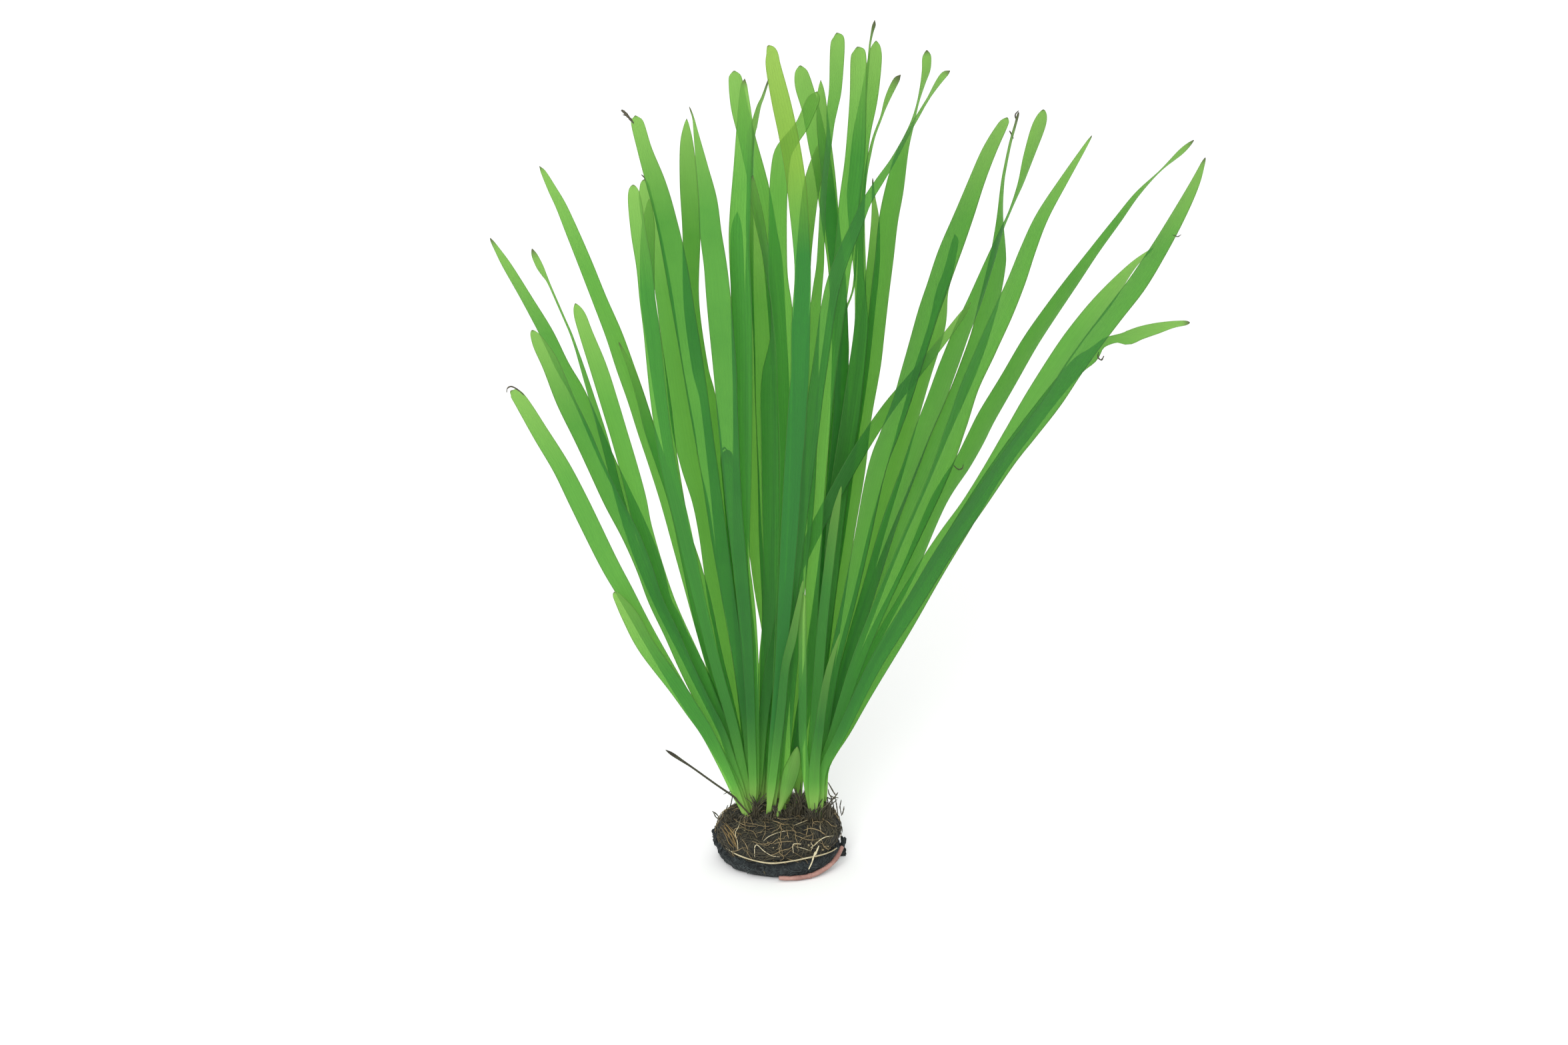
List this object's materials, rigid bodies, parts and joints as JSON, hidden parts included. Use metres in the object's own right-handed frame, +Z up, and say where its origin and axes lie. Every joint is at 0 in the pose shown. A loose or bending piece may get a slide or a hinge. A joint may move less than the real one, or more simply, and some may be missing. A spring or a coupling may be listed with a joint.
{
  "type": "tape grass plant with root ball",
  "caption": "Bunch of long ribbon leaves fanned out from a flat round ball of matted roots that stands on its underside.",
  "frame": {"origin": "middle of the root ball's flat underside, on the surface it stands on", "axes": "+Z up along the leaves, +X to the right and -Y towards the side the plant is looked at from"},
  "size_m": [0.2724, 0.155, 0.3583],
  "materials": {
    "leaf_green": "thin translucent leaf with long fine veins, softly glossy",
    "leaf_yellow_green": "thin translucent leaf turning yellow, with brown spots",
    "leaf_dead": "dried dark leaf strand",
    "matted_roots": "matted brown roots and fibres",
    "dark_mat": "dark compacted growing medium",
    "runner_skin": "smooth pinkish plant runner",
    "pale_root": "smooth pale root"
  },
  "bodies": {
    "root": {"leaf_01": "leaf_green", "leaf_02": "leaf_green", "leaf_03": "leaf_green", "leaf_04": "leaf_green", "leaf_05": "leaf_green", "leaf_06": "leaf_green", "leaf_07": "leaf_green", "leaf_08": "leaf_green", "leaf_09": "leaf_green", "leaf_10": "leaf_green", "leaf_11": "leaf_green", "leaf_12": "leaf_green", "leaf_13": "leaf_green", "leaf_14": "leaf_green", "leaf_15": "leaf_green", "leaf_16": "leaf_green", "leaf_17": "leaf_green", "leaf_18": "leaf_green", "leaf_19": "leaf_green", "leaf_20": "leaf_yellow_green", "leaf_21": "leaf_green", "leaf_22": "leaf_green", "leaf_23": "leaf_green", "leaf_24": "leaf_green", "leaf_25": "leaf_green", "leaf_26": "leaf_green", "leaf_27": "leaf_green", "leaf_28": "leaf_green", "leaf_29": "leaf_green", "leaf_30": "leaf_green", "leaf_31": "leaf_green", "leaf_32": "leaf_green", "leaf_33": "leaf_green", "leaf_34": "leaf_green", "leaf_35": "leaf_green", "leaf_36": "leaf_green", "leaf_37": "leaf_green", "leaf_38": "leaf_green", "leaf_39": "leaf_green", "leaf_40": "leaf_green", "leaf_41": "leaf_green", "leaf_42": "leaf_green", "leaf_43": "leaf_green", "leaf_44": "leaf_green", "leaf_45": "leaf_green", "leaf_46": "leaf_green", "leaf_47": "leaf_green", "leaf_48": "leaf_green", "leaf_49": "leaf_green", "young_leaf": "leaf_green", "dead_leaf": "leaf_dead", "root_ball": "matted_roots", "base_mat": "dark_mat", "runner": "runner_skin", "pale_root_low": "pale_root", "pale_root_upright": "pale_root"}
  },
  "joints": []
}
